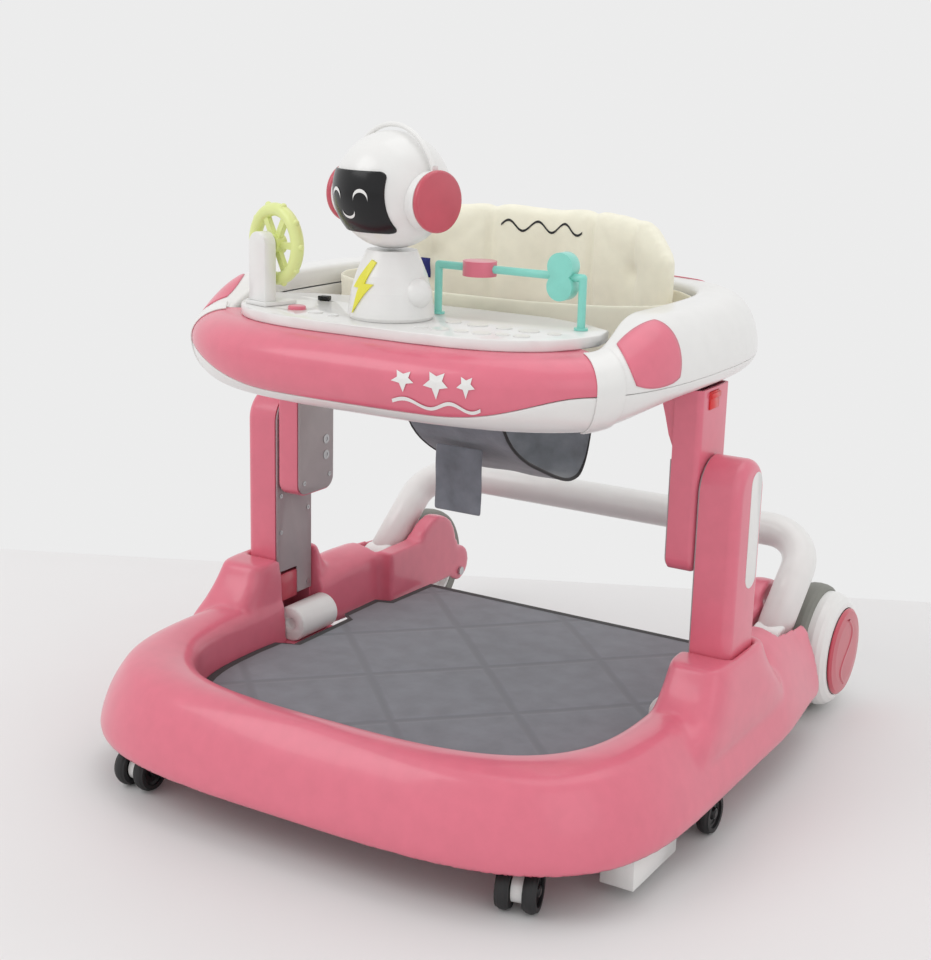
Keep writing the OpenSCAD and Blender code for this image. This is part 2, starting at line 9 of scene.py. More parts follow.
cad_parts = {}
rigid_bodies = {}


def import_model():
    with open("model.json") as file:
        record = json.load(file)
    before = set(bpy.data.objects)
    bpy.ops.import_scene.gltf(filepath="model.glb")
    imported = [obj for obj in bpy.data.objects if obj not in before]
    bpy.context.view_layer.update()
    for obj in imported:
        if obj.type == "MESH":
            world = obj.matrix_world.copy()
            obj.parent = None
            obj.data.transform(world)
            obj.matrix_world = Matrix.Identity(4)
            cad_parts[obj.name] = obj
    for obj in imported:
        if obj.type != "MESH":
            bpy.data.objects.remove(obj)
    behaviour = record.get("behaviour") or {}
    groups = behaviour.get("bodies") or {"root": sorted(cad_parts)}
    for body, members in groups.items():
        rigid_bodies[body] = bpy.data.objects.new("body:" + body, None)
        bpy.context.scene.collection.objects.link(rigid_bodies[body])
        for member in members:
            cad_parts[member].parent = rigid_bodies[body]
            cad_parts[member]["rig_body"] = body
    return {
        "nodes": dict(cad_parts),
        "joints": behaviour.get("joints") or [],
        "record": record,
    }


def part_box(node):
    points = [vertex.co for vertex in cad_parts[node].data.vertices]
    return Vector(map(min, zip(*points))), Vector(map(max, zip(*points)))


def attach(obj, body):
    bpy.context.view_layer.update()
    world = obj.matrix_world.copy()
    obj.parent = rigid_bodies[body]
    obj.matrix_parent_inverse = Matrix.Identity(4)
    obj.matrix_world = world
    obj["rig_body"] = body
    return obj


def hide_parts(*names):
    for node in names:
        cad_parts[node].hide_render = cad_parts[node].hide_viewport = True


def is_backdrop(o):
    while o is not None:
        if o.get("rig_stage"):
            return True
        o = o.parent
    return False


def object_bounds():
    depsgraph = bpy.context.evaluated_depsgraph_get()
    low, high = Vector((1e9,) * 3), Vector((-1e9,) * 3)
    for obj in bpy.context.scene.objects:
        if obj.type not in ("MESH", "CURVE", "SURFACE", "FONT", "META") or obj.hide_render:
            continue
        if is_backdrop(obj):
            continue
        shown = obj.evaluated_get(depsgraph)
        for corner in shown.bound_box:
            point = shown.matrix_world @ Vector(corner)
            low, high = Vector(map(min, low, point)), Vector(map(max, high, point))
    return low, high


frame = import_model()
loaded_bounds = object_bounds()
NODES = frame["nodes"]
MM = 0.001
SIDES = (("left", -1), ("right", 1))


# ---- Materials ----
RELIEF_DEPTH = 0.0004
# Painted shade: how much darker the quilt's colour is painted in its stitch creases
STITCH_CREASE_SHADE = 0.82


def shader(name, rough, spec=0.5, coat=0.0, metal=0.0, sheen=0.0):
    m = bpy.data.materials.new(name)
    m.use_nodes = True
    b = m.node_tree.nodes["Principled BSDF"]
    b.inputs["Roughness"].default_value = rough
    b.inputs["Specular IOR Level"].default_value = spec
    b.inputs["Coat Weight"].default_value = coat
    b.inputs["Coat Roughness"].default_value = 0.12
    b.inputs["Metallic"].default_value = metal
    b.inputs["Sheen Weight"].default_value = sheen
    return m, b


def textured(name, colour, rough, kind="noise", scale=60, spread=0.04, bump=0.05, fine=900, **kw):
    """A finish with slightly varied colour and a fine relief: noise, weave or diamond quilting, whose creases
    get painted shade.
    """
    m, b = shader(name, rough, **kw)
    t, link = m.node_tree.nodes, m.node_tree.links
    where = t.new("ShaderNodeTexCoord")
    patch = t.new("ShaderNodeTexNoise")
    patch.inputs["Scale"].default_value = scale
    patch.inputs["Detail"].default_value = 5
    link.new(where.outputs["Object"], patch.inputs["Vector"])
    ramp = t.new("ShaderNodeValToRGB")
    ramp.color_ramp.elements[0].position = 0.3
    ramp.color_ramp.elements[1].position = 0.7
    ramp.color_ramp.elements[0].color = [c * (1 - spread) for c in colour] + [1]
    ramp.color_ramp.elements[1].color = [min(1, c * (1 + spread)) for c in colour] + [1]
    link.new(patch.outputs["Fac"], ramp.inputs["Fac"])
    link.new(ramp.outputs["Color"], b.inputs["Base Color"])
    if kind == "weave":
        waves = []
        for axis in ("X", "Z"):
            w = t.new("ShaderNodeTexWave")
            w.bands_direction = axis
            w.inputs["Scale"].default_value = fine
            w.inputs["Distortion"].default_value = 0.6
            link.new(where.outputs["Object"], w.inputs["Vector"])
            waves.append(w)
        both = t.new("ShaderNodeMath")
        both.operation = "MULTIPLY"
        link.new(waves[0].outputs["Fac"], both.inputs[0])
        link.new(waves[1].outputs["Fac"], both.inputs[1])
        height = both.outputs[0]
    elif kind == "quilt":
        lines = []
        for turned in (45, -45):
            spin = t.new("ShaderNodeMapping")
            spin.inputs["Rotation"].default_value = (0, 0, math.radians(turned))
            link.new(where.outputs["Object"], spin.inputs["Vector"])
            w = t.new("ShaderNodeTexWave")
            w.bands_direction = "X"
            w.inputs["Scale"].default_value = 2.6
            w.inputs["Distortion"].default_value = 0.3
            link.new(spin.outputs["Vector"], w.inputs["Vector"])
            thin = t.new("ShaderNodeMapRange")
            thin.inputs["From Min"].default_value = 0.0
            thin.inputs["From Max"].default_value = 0.02
            link.new(w.outputs["Fac"], thin.inputs["Value"])
            lines.append(thin)
        both = t.new("ShaderNodeMath")
        both.operation = "MINIMUM"
        link.new(lines[0].outputs["Result"], both.inputs[0])
        link.new(lines[1].outputs["Result"], both.inputs[1])
        # Painted shade: the colour is darkened along the stitch lines, just where the relief dips
        crease_shaded = t.new("ShaderNodeMix")
        crease_shaded.data_type = "RGBA"
        crease_shaded.inputs["A"].default_value = [c * STITCH_CREASE_SHADE for c in colour] + [1]
        link.new(both.outputs[0], crease_shaded.inputs["Factor"])
        link.new(ramp.outputs["Color"], crease_shaded.inputs["B"])
        link.new(crease_shaded.outputs["Result"], b.inputs["Base Color"])
        height = both.outputs[0]
    else:
        grain = t.new("ShaderNodeTexNoise")
        grain.inputs["Scale"].default_value = fine
        grain.inputs["Detail"].default_value = 3
        link.new(where.outputs["Object"], grain.inputs["Vector"])
        height = grain.outputs["Fac"]
    relief = t.new("ShaderNodeBump")
    relief.inputs["Strength"].default_value = bump
    relief.inputs["Distance"].default_value = RELIEF_DEPTH
    link.new(height, relief.inputs["Height"])
    link.new(relief.outputs["Normal"], b.inputs["Normal"])
    return m


MATS = {
    "pink": textured("pink", (0.74, 0.165, 0.235), 0.3, coat=0.35, spread=0.03),
    "deep_pink": textured("deep_pink", (0.56, 0.075, 0.11), 0.3, coat=0.3),
    "white": textured("white", (0.82, 0.815, 0.80), 0.28, coat=0.3, spread=0.015),
    "grey": textured("grey", (0.43, 0.375, 0.385), 0.42, spread=0.03, bump=0.12),
    "mat": textured("mat", (0.19, 0.205, 0.235), 0.95, scale=45, spread=0.22, bump=0.5, fine=420, sheen=0.4),
    "seat_cloth": textured("seat_cloth", (0.90, 0.87, 0.72), 0.8, kind="weave", spread=0.03, bump=0.25,
                           fine=380, sheen=0.3),
    "webbing": textured("webbing", (0.02, 0.02, 0.022), 0.85, kind="weave", bump=0.5, fine=260, sheen=0.2),
    "steel": textured("steel", (0.55, 0.55, 0.56), 0.35, metal=1.0, bump=0.1),
    "black": textured("black", (0.008, 0.008, 0.009), 0.22, spec=0.35, spread=0.1),
    "yellow": textured("yellow", (0.80, 0.76, 0.05), 0.35, coat=0.2),
    "mint": textured("mint", (0.25, 0.70, 0.60), 0.3, coat=0.3),
    "lemon": textured("lemon", (0.76, 0.83, 0.33), 0.3, coat=0.3),
    "red": textured("red", (0.72, 0.008, 0.012), 0.3, coat=0.3),
    "caster_tyre": textured("caster_tyre", (0.015, 0.015, 0.016), 0.55, bump=0.2),
    "wheel_tyre": textured("wheel_tyre", (0.23, 0.23, 0.205), 0.6, bump=0.25),
    "quilt": textured("quilt", (0.175, 0.185, 0.212), 0.95, kind="quilt", scale=45, spread=0.12, bump=0.6,
                      sheen=0.4),
    "blue": textured("blue", (0.015, 0.02, 0.16), 0.8, kind="weave", bump=0.3, fine=300),
}
SLOT = {s["node"]: s["material_slot"] for s in frame["record"]["subparts"]}


# ---- Building helpers; lengths in millimetres ----
def made(name, verts, faces, body, slot, smooth=True, material=None):
    me = bpy.data.meshes.new(name)
    me.from_pydata([Vector(v) * MM for v in verts], [], faces)
    o = bpy.data.objects.new(name, me)
    bpy.context.scene.collection.objects.link(o)
    return kept(o, body, slot, smooth, (), material)


def kept(o, body, slot, smooth=True, replaces=(), material=None):
    o.data.materials.clear()
    o.data.materials.append(MATS[material or slot])
    for p in o.data.polygons:
        p.use_smooth = smooth
    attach(o, body)
    if replaces:
        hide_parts(*replaces)
    return o


def rows_faces(m, n, close_m=False, close_n=False):
    out = []
    for j in range(m if close_m else m - 1):
        for k in range(n if close_n else n - 1):
            a, b = j * n + k, j * n + (k + 1) % n
            c, d = ((j + 1) % m) * n + (k + 1) % n, ((j + 1) % m) * n + k
            out.append((a, b, c, d))
    return out


def skin(rows, close_m=False, close_n=False, caps=False):
    m, n = len(rows), len(rows[0])
    faces = rows_faces(m, n, close_m, close_n)
    if caps:
        faces += [tuple(range(n))[::-1], tuple((m - 1) * n + k for k in range(n))]
    return [p for r in rows for p in r], faces


def joined(parts):
    verts, faces = [], []
    for v, f in parts:
        at = len(verts)
        verts += list(v)
        faces += [tuple(i + at for i in q) for q in f]
    return verts, faces


def block(x0, x1, y0, y1, z0, z1):
    v = [(x, y, z) for z in (z0, z1) for x, y in ((x0, y0), (x1, y0), (x1, y1), (x0, y1))]
    return v, [(3, 2, 1, 0), (4, 5, 6, 7), (0, 1, 5, 4), (1, 2, 6, 5), (2, 3, 7, 6), (3, 0, 4, 7)]


def rod(p, axis, r, length, n=48):
    axis = Vector(axis).normalized()
    side = axis.orthogonal().normalized()
    up = axis.cross(side)
    rows = [[tuple(Vector(p) + axis * h + (side * math.cos(a) + up * math.sin(a)) * r)
             for a in (2 * math.pi * i / n for i in range(n))] for h in (0, length)]
    return skin(rows, close_n=True, caps=True)


def flipped(part):
    v, f = part
    return [(-x, y, z) for x, y, z in v], [q[::-1] for q in f]


def modified(o, *steps):
    for kind, values in steps:
        m = o.modifiers.new(kind, kind)
        for k, v in values.items():
            setattr(m, k, v)
    bpy.context.view_layer.update()
    me = bpy.data.meshes.new_from_object(o.evaluated_get(bpy.context.evaluated_depsgraph_get()))
    o.modifiers.clear()
    o.data = me
    return o


def loose(name, part):
    me = bpy.data.meshes.new(name)
    me.from_pydata([Vector(v) * MM for v in part[0]], [], part[1])
    bm = bmesh.new()
    bm.from_mesh(me)
    bmesh.ops.recalc_face_normals(bm, faces=bm.faces)
    bm.to_mesh(me)
    bm.free()
    o = bpy.data.objects.new(name, me)
    bpy.context.scene.collection.objects.link(o)
    return o


def gone(*objs):
    for o in objs:
        bpy.data.objects.remove(o)


def softened(node, width, material=None):
    """A copy of a CAD node with its edges rounded."""
    src = NODES[node]
    me = src.data.copy()
    bm = bmesh.new()
    bm.from_mesh(me)
    bmesh.ops.remove_doubles(bm, verts=bm.verts, dist=1e-6)
    bmesh.ops.dissolve_limit(bm, angle_limit=math.radians(1), verts=bm.verts, edges=bm.edges)
    bm.to_mesh(me)
    bm.free()
    me.name = "soft_" + node
    o = bpy.data.objects.new("soft_" + node, me)
    bpy.context.scene.collection.objects.link(o)
    modified(o, ("BEVEL", {"width": width * MM, "segments": 3, "limit_method": "ANGLE",
                           "angle_limit": math.radians(30), "harden_normals": True}))
    return kept(o, src["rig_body"], SLOT[node], True, (node,), material)


def spow(v, p):
    """A power that keeps the sign."""
    return math.copysign(abs(v) ** p, v)


def ease(v):
    """Rises smoothly from 0 to 1."""
    c = min(max(v, 0), 1)
    return c * c * (3 - 2 * c)


def oval(a, front, rear, yc, n, t):
    """A point on a superellipse: t is 0 at the front and grows towards +X."""
    c, s = math.cos(math.radians(t)), math.sin(math.radians(t))
    return (a * spow(s, 2 / n), yc - (front if c > 0 else rear) * spow(c, 2 / n))


def spline(points, steps=4):
    """Catmull-Rom through 2-D points."""
    p = [points[0]] + list(points) + [points[-1]]
    out = []
    for i in range(1, len(p) - 2):
        for k in range(steps):
            t = k / steps
            out.append(tuple(0.5 * (2 * p[i][j] + (p[i + 1][j] - p[i - 1][j]) * t
                       + (2 * p[i - 1][j] - 5 * p[i][j] + 4 * p[i + 1][j] - p[i + 2][j]) * t * t
                       + (3 * p[i][j] - p[i - 1][j] - 3 * p[i + 1][j] + p[i + 2][j]) * t ** 3)
                       for j in range(len(p[0]))))
    return out + [tuple(points[-1])]


# ---- Base shell: one blended moulding ----
lo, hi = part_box("base_shell")
half, front_y = hi.x / MM, lo.y / MM
lip, bow_y, inner = lo.z / MM, -100, 222
in_front = front_y + 70
FLANK_Z = 60      # where the upright flank starts to round over
CROWN_FRONT = 118
VOXEL = 0.003
SHELL_WALL = 0.0028
OUTER_POWER, INNER_POWER = 3.5, 3.1


def base_curve(w, top):
    """The moulding's section, w wide, from the outer lip over the crown to the inner wall."""
    h = top - FLANK_Z
    flank = [(9, FLANK_Z + .36 * h), (19, FLANK_Z + .67 * h), (30, FLANK_Z + .89 * h)]
    inside = [(.9 * w, top - 5), (w - 1, top - 13), (w, top - 26), (w, 62)]
    crest = [(.56 * w, top), (.76 * w, top - 1)]
    return spline([(4, lip), (0.5, lip + 8), (2, FLANK_Z)] + flank + crest + inside, 3)


def base_row(o, i, top):
    o, i = Vector(o), Vector(i)
    u = (i - o).normalized()
    return [(o.x + u.x * d, o.y + u.y * d, z) for d, z in base_curve((i - o).length, top)]


def arm(s, y):
    return ((s * (half - 12 * ease((y - 60) / 150)), y), (s * (inner - 8 * ease(y / 120)), y))


def crown(y):
    return CROWN_FRONT + 14 * ease((y + 20) / 110)


ys = [200 - 10 * i for i in range(30)]
rows = [base_row(*arm(-1, y), crown(y)) for y in ys]
rows += [base_row(oval(half, bow_y - front_y, 1, bow_y, OUTER_POWER, t),
                  oval(inner, bow_y - in_front, 1, bow_y, INNER_POWER, t), CROWN_FRONT)
         for t in range(-90, 91, 3)]
rows += [base_row(*arm(1, y), crown(y)) for y in reversed(ys)]


def rect_ring(x0, x1, y0, y1, z, n=5.0, k=48):
    """A level ring of points round a rectangle with well rounded corners."""
    return [((x0 + x1) / 2 + (x1 - x0) / 2 * spow(math.cos(a), 2 / n),
             (y0 + y1) / 2 + (y1 - y0) / 2 * spow(math.sin(a), 2 / n), z)
            for a in (2 * math.pi * i / k for i in range(k))]


# The post pedestal's sections: height, then its x and y limits
flare = [(84, 224, 294, -140, 96), (104, 225, 294, -124, 78), (118, 226, 292, -104, 60),
         (130, 227, 290, -92, 48), (142, 228, 288, -83, 40), (152, 229, 286, -78, 36),
         (155, 232, 283, -75, 33)]
boss = skin([rect_ring(x0, x1, y0, y1, z) for z, x0, x1, y0, y1 in flare], close_n=True, caps=True)
inner_plate = [block(197, 217, 122, 228, 64, 126), rod((197, 222, 106), (1, 0, 0), 42, 20),
               rod((197, 272, 78), (1, 0, 0), 22, 20), block(197, 217, 228, 268, 64, 108)]
outer_plate = block(262, 272, 118, 199, 62, 110)
axle_boss = rod((217, 272, 68), (1, 0, 0), 14, 7)
arm_parts = [boss] + inner_plate + [outer_plate, axle_boss]
sweep = skin(rows, close_n=True, caps=True)
solid = loose("base_solid", joined([sweep] + arm_parts + [flipped(p) for p in arm_parts]))
modified(solid, ("REMESH", {"mode": "VOXEL", "voxel_size": VOXEL}))
# The post's slot and the handle's saddle
cuts = [block(190, 276.6, -40.8, 23.8, 66, 190), block(220, 261.5, 122, 260, 80, 210)]
cutter = loose("base_cut", joined(cuts + [flipped(c) for c in cuts]))
modified(solid, ("BOOLEAN", {"operation": "DIFFERENCE", "object": cutter, "solver": "EXACT"}),
         ("REMESH", {"mode": "VOXEL", "voxel_size": VOXEL}), ("SMOOTH", {"factor": 0.6, "iterations": 6}))
bm = bmesh.new()
bm.from_mesh(solid.data)
under = [f for f in bm.faces if f.normal.z < -0.75 and f.calc_center_median().z < 0.068]
bmesh.ops.delete(bm, geom=under, context="FACES")
bm.to_mesh(solid.data)
bm.free()
modified(solid, ("SOLIDIFY", {"thickness": SHELL_WALL, "offset": -1.0}))
solid.name = "base_moulding"
gone(cutter)
kept(solid, "base", "pink", True, ("base_shell",))

# Caster sockets and slot floors inside the shell
spots = [j["pos_m"] for j in frame["joints"] if j["name"].startswith("swivel_")]
rings = []
for x, y, _ in spots:
    prof = [(4.2, 46), (10, 46), (10, 70), (4.2, 70)]
    rings.append(skin([[(x / MM + r * math.cos(a), y / MM + r * math.sin(a), z) for r, z in prof]
                       for a in (2 * math.pi * i / 32 for i in range(32))], close_m=True, close_n=True))
rings += [block(s * 277 if s < 0 else 198, -198 if s < 0 else 277, -44, 27, 62, 66) for s in (-1, 1)]
made("sockets", *joined(rings), "base", "pink", smooth=False)


# ---- Posts: open channels with rounded outer edges ----
POST_WALL = 0.0026
WINDOW_GAP = .4    # round the red button


def outline_lower(inset, z0, n=24):
    """The lower post's side outline, with a round top."""
    lo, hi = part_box("lower_post_right")
    y0, y1, top = lo.y / MM + inset, hi.y / MM - inset, hi.z / MM - inset
    r = (y1 - y0) / 2
    arc = [((y0 + y1) / 2 + r * math.cos(a), top - r + r * math.sin(a))
           for a in (math.pi * i / n for i in range(n + 1))]
    going_up = [(y1, z0 + (top - r - z0) * k / 6) for k in range(1, 6)]
    going_down = [(y0, top - r - (top - r - z0) * k / 6) for k in range(1, 6)]
    return [(y1, z0)] + going_up + arc + going_down + [(y0, z0)]


def outline_upper(inset, n=6):
    """The upper post's side outline, with two round corners at its foot."""
    lo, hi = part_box("upper_post_right")
    y0, y1, z0, z1 = lo.y / MM + inset, hi.y / MM - inset, lo.z / MM + inset, hi.z / MM
    r = 13 - inset * 0.6
    quarter = [math.pi / 2 * i / n for i in range(n + 1)]
    out = [(y0, z1), (y0, (z0 + z1) / 2)]
    out += [(y0 + r - r * math.cos(a), z0 + r - r * math.sin(a)) for a in quarter]
    out += [(y1 - r + r * math.sin(a), z0 + r - r * math.cos(a)) for a in quarter]
    return out + [(y1, (z0 + z1) / 2), (y1, z1)]


def channel(name, outline, x_in, x_out, r, body, node, cut=None):
    """A post: an open channel whose outer face meets its walls in a round of radius r."""
    s = 1 if x_out > 0 else -1
    rows = [[(s * abs(x_in), y, z) for y, z in outline(0)]]
    for i in range(9):
        a = math.pi / 2 * i / 8
        x = s * (abs(x_out) - r + r * math.sin(a))
        rows.append([(x, y, z) for y, z in outline(r * (1 - math.cos(a)))])
    v, f = skin(rows)
    last = len(v) - len(rows[0])
    f.append(tuple(range(last, len(v))))
    o = loose(name, (v, f))
    centre = Vector((s * abs(x_in), 0, 0)) * MM
    if sum((p.center - centre).x * s * p.normal.x * s * p.area for p in o.data.polygons) < 0:
        o.data.flip_normals()
    modified(o, ("SOLIDIFY", {"thickness": POST_WALL, "offset": -1.0}))
    if cut:
        c = loose("cut", cut)
        modified(o, ("BOOLEAN", {"operation": "DIFFERENCE", "object": c, "solver": "EXACT"}))
        gone(c)
    modified(o, ("EDGE_SPLIT", {"split_angle": math.radians(50)}))
    return kept(o, body, SLOT[node], True, (node,))


for side, s in SIDES:
    lo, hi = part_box("lower_post_right")
    channel("post_low_" + side, lambda i: outline_lower(i, 66), s * lo.x / MM, s * hi.x / MM, 10, "base",
            "lower_post_" + side)
    lo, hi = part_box("red_button_right")
    window = block(*sorted((s * (lo.x / MM - 3), s * (hi.x / MM + 3))), lo.y / MM - WINDOW_GAP,
                   hi.y / MM + WINDOW_GAP, lo.z / MM - WINDOW_GAP, hi.z / MM + WINDOW_GAP)
    channel("post_up_" + side, outline_upper, s * 209, s * 235, 6, "tray", "upper_post_" + side, window)
    curve = [(209, 340), (204, 352), (200, 368), (196, 382), (191, 395)]
    rows = [[(s * 211, y, 338), (s * 211, y, 395)] + [(s * x, y, z) for x, z in reversed(curve)]
            for y in (-38, -31)]
    made("post_wedge_" + side, *skin(rows, close_n=True, caps=True), "tray", "pink", smooth=False)
    tongue = block(*sorted((s * 234, s * 255)), -16, -1, 274, 288)
    made("tongue_" + side, *tongue, "tray", "pink", smooth=False)

# ---- Push handle: one bent tube ----
joint = next(j for j in frame["joints"] if j["name"] == "handle_raise")
px, py, pz = [c / MM for c in joint["pos_m"]]
HALF_SPAN, BEND, TUBE = 241, 45, 18
HUB_R, HUB_LONG = 19.5, 30
PIN_R, PIN_LONG = 6.9, 65
run, rise = 106, 88
length = math.hypot(run, rise)
dy, dz = run / length, rise / length
corner_x = HALF_SPAN - BEND
path = [(-HALF_SPAN, 0), (-HALF_SPAN, length - BEND)]
path += [(-corner_x - BEND * math.cos(a), length - BEND + BEND * math.sin(a))
         for a in (math.pi / 2 * i / 10 for i in range(1, 11))]
across = [(-corner_x + 2 * corner_x * k / 12, length) for k in range(1, 12)]
path += across + [(-x, d) for x, d in reversed(path[1:])] + [(HALF_SPAN, 0)]
rows = []
for i, (x, d) in enumerate(path):
    a, b = path[max(i - 1, 0)], path[min(i + 1, len(path) - 1)]
    t = Vector((b[0] - a[0], b[1] - a[1])).normalized()
    rows.append([(x - t.y * TUBE * math.cos(q),
                  py + dy * (d + t.x * TUBE * math.cos(q)) - dz * TUBE * math.sin(q),
                  pz + dz * (d + t.x * TUBE * math.cos(q)) + dy * TUBE * math.sin(q))
                 for q in (2 * math.pi * k / 32 for k in range(32))])
tube = loose("handle_tube", skin(rows, close_n=True, caps=True))
kept(tube, "handle", "white", True, ("push_handle",))
for side, s in SIDES:
    hub = loose("handle_hub_" + side, rod((s * HALF_SPAN - HUB_LONG / 2, py, pz), (1, 0, 0), HUB_R, HUB_LONG))
    modified(hub, ("BEVEL", {"width": 0.003, "segments": 4, "limit_method": "ANGLE"}))
    kept(hub, "handle", "white")
    pin = rod((s * 236.5 - PIN_LONG / 2, py, pz), (1, 0, 0), PIN_R, PIN_LONG)
    made("handle_pin_" + side, *pin, "handle", "white", smooth=False)

# ---- Ring ----
lo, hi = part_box("toy_board")
board = hi.z / MM
RING_Y = -35             # the ring's middle
WIDEST_Z = 417           # the height at which the ring is widest
EDGE = 34                # how far in from its widest point the section's crown lies
RING_MIDDLE = Vector((0, RING_Y, WIDEST_Z)) * MM


def rim_o(t):
    """The ring's outline seen from above."""
    return Vector(oval(250, 225, 225, RING_Y, 2.9, t))


def rim_n(t):
    """The direction inwards from the outline."""
    u = (rim_o(t + 1.5) - rim_o(t - 1.5)).normalized()
    return Vector((-u.y, u.x))


def turn(t):
    """The angle from the front, from 0 to 180."""
    return abs((t + 180) % 360 - 180)


def rim_low(t):
    return 377 + 18 * ease((turn(t) - 50) / 35)


def rim_high(t):
    return board - 10 + 26 * ease((turn(t) - 52) / 30)


def over_w(t):
    """How far the ring's cover reaches inwards."""
    return 60 - 24 * (1 - ease((turn(t) - 50) / 32))


def band_w(t):
    """How far the lower shell reaches inwards: wide under the toy board."""
    return 62 + 118 * (1 - ease((turn(t) - 24) / 46))


def seam(t):
    """The angle round the section where the lower shell ends and the covers start."""
    return -45 + 38 * ease((turn(t) - 12) / 36)


def rim_at(t, a, out=0.0):
    """A point at angle a round the ring's section."""
    q = math.radians(a)
    d = EDGE - (EDGE + out) * math.cos(q)
    z = WIDEST_Z + math.sin(q) * ((WIDEST_Z - rim_low(t) if a < 0 else rim_high(t) - WIDEST_Z) + out)
    p = rim_o(t) + rim_n(t) * d
    return (p.x, p.y, z)


def rim_in(t, d, z):
    """A point d inwards from the outline, at height z."""
    p = rim_o(t) + rim_n(t) * d
    return (p.x, p.y, z)


def ring_part(name, ts, section, node, close=False, thick=2.3, slot=None):
    """A moulding that sweeps section along the ring; node is None for a second piece of one node."""
    o = loose(name, skin([section(t) for t in ts], close_m=close))
    if sum((p.center - RING_MIDDLE).dot(p.normal) * p.area for p in o.data.polygons) < 0:
        o.data.flip_normals()
    rounding = {"width": 0.0006, "segments": 2, "limit_method": "ANGLE", "angle_limit": math.radians(50)}
    modified(o, ("SOLIDIFY", {"thickness": thick * MM, "offset": -1.0}), ("BEVEL", rounding))
    return kept(o, "tray", slot or SLOT[node], True, (node,) if node else ())


def sweep_angles(t, a0, a1, n, out=0.0):
    return [rim_at(t, a0 + (a1 - a0) * i / n, out) for i in range(n + 1)]


def lower_wall(t):
    w, z = band_w(t), rim_low(t)
    inner_side = [(w, rim_high(t) - 20), (w, z + 18), (w - 1.5, z + 10), (w - 5, z + 5), (w - 10, z + 2),
                  (w - 16, z + 1)]
    return [rim_in(t, d, h) for d, h in inner_side] + sweep_angles(t, -90, seam(t) - 0.6, 12)


def upper_wall(t):
    w, z = over_w(t), rim_high(t)
    inner_lip = [(w - 6, z - .1), (w - 3, z - .6), (w - 1, z - 2), (w, z - 5), (w, z - 19)]
    return sweep_angles(t, seam(t) + 0.6, 90, 16) + [rim_in(t, d, h) for d, h in inner_lip]


ring_part("shell_low", [3 * i for i in range(120)], lower_wall, "tray_shell", close=True)
ring_part("bumper", [54.6 * i / 40 for i in range(-40, 41)],
          lambda t: sweep_angles(t, seam(t) + 0.6, 90, 18) + [rim_in(t, 56, rim_high(t))], "bumper_cover")
ring_part("cover_ring", [55.2 + 249.6 * i / 110 for i in range(111)], upper_wall, "ring_cover")


def squircle(u, v):
    """Maps the unit square's points to a square with rounded corners."""
    return u * math.sqrt(1 - 0.30 * v * v), v * math.sqrt(1 - 0.30 * u * u)


panels = []
for t0, t1 in ((61, 78), (146, 164)):
    for s in (-1, 1):
        rows = []
        for i in range(21):
            row = []
            for k in range(21):
                u, v = squircle(i / 10 - 1, k / 10 - 1)
                t = s * ((t0 + t1) / 2 + (t1 - t0) / 2 * u)
                a0, a1 = seam(t) + 4, 88
                row.append(rim_at(t, (a0 + a1) / 2 + (a1 - a0) / 2 * v, 0.9))
            rows.append(row)
        panels.append(skin(rows))
for i, p in enumerate(panels):
    o = loose("panel_%d" % i, p)
    if sum((q.center - RING_MIDDLE).dot(q.normal) for q in o.data.polygons) < 0:
        o.data.flip_normals()
    modified(o, ("SOLIDIFY", {"thickness": 0.0009, "offset": -1.0}))
    kept(o, "tray", "pink", True, ("ring_panels",) if i == 0 else ())
for side, s in SIDES:
    ring_part("band_" + side, [s * (51 + 8 * i / 6) for i in range(7)],
              lambda t: sweep_angles(t, -84, 86, 24, 1.6), "clip_bands" if s > 0 else None,
              thick=1.5, slot="white")

softened("toy_board", 2.2)

# Low raised roundels along the board's front
studs = [rod((x, -203 + 0.0011 * (x - 20) ** 2, board - .2), (0, 0, 1), r, 1.3, 24)
         for x, r in ((-72, 7), (-50, 5), (44, 6), (62, 8), (82, 6), (100, 8), (118, 6), (134, 7))]
studs += [rod((x, -162, board - .2), (0, 0, 1), r, 1.3, 24)
          for x, r in ((52, 7), (76, 9), (102, 7), (126, 9), (150, 6))]
made("board_roundels", *joined(studs), "tray", "white", smooth=False)


# Raised motif on the bumper: three stars over a wave
def star(r):
    reach = [r if i % 2 else r * .5 for i in range(10)]
    return [(d * math.sin(math.pi * i / 5), d * math.cos(math.pi * i / 5)) for i, d in enumerate(reach)]


for i, (t, a, r) in enumerate(((8, 5, 8), (14, 5, 10), (20, 5, 8))):
    ring = [rim_at(t + dx / 4.0, a + dz * 2.2, 0.9) for dx, dz in star(r)]
    made("motif_%d" % i, [rim_at(t, a, 1.1)] + ring, [(0, k + 1, (k + 1) % 10 + 1) for k in range(10)],
         "tray", "white", smooth=False)
wave = [[rim_at(6 + 17 * k / 40, -26 + 5 * math.sin(k / 3.2) + w, 0.9) for w in (-2.5, 2.5)]
        for k in range(41)]
made("motif_wave", *skin(wave), "tray", "white")


# ---- Soft goods ----
MAX_PUFF = 0.009
SEAM_X = 58              # the cushion's two upright seams
TUFT_X, TUFT_Z = 112, 478


